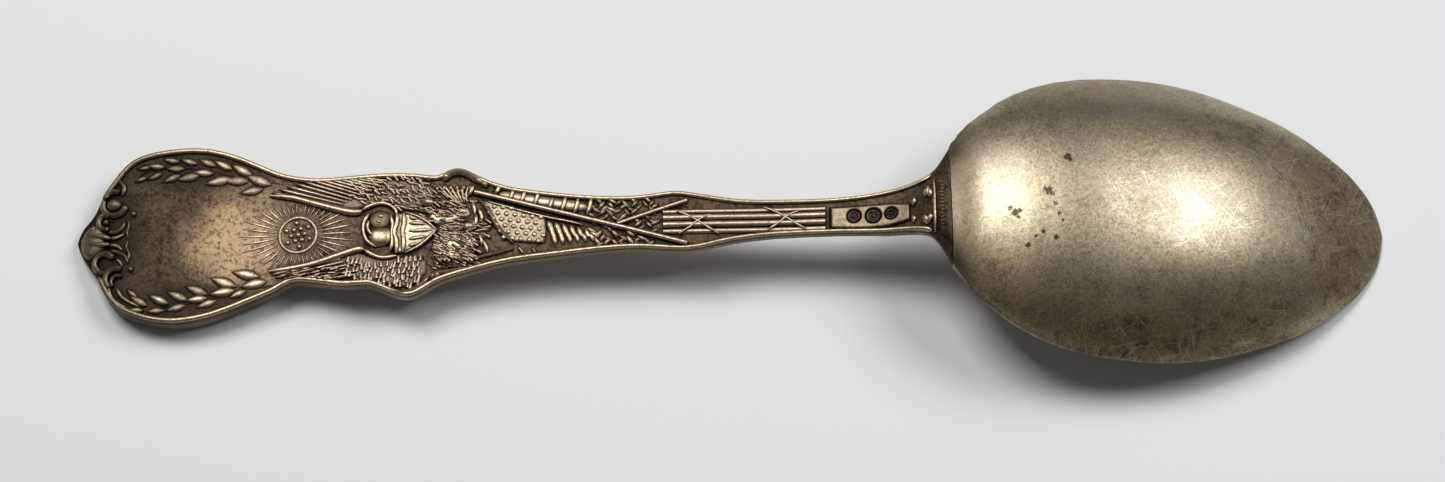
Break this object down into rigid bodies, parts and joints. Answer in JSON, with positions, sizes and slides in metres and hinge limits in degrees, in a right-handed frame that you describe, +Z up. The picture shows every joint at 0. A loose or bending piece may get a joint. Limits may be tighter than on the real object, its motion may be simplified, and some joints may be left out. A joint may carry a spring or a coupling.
{
  "type": "souvenir spoon",
  "caption": "Teaspoon-size souvenir spoon lying face down: pointed oval bowl, slim neck and a shaped handle with scroll crest, laurel, eagle, shield and flag relief on its back.",
  "frame": {"origin": "on the table, under the middle of the spoon's outer box", "axes": "+X from the handle's tip to the bowl's tip, +Y across the spoon, +Z up from the table, towards the convex back"},
  "size_m": [0.15, 0.0342, 0.0147],
  "materials": {
    "bowl_silver": "tarnished silver, fine scratches",
    "handle_silver": "tarnished silver, dark patina in the recesses",
    "relief_silver": "tarnished silver, worn bright on the high edges"
  },
  "bodies": {
    "root": {"bowl": "bowl_silver", "handle": "handle_silver", "border_upper": "relief_silver", "border_lower": "relief_silver", "crest_leaf": "relief_silver", "crest_scrolls_upper": "relief_silver", "crest_scrolls_lower": "relief_silver", "pearls": "relief_silver", "laurel_upper": "relief_silver", "laurel_lower": "relief_silver", "glory_rays": "relief_silver", "medallion_ring": "relief_silver", "medallion_beads": "relief_silver", "wing_upper": "relief_silver", "wing_lower": "relief_silver", "eagle_head": "relief_silver", "shield": "relief_silver", "eagle_body": "relief_silver", "c_scroll_upper": "relief_silver", "c_scroll_lower": "relief_silver", "flag_pole_long": "relief_silver", "flag_pole_short": "relief_silver", "flag_pole_stub": "relief_silver", "star_flag": "relief_silver", "flag_folds": "relief_silver", "furled_flag": "relief_silver", "foliage_upper": "relief_silver", "foliage_lower": "relief_silver", "fasces_rods": "relief_silver", "fasces_straps": "relief_silver", "mark_panel": "relief_silver", "neck_leaves": "relief_silver", "neck_bar": "relief_silver", "neck_band": "relief_silver"}
  },
  "joints": []
}
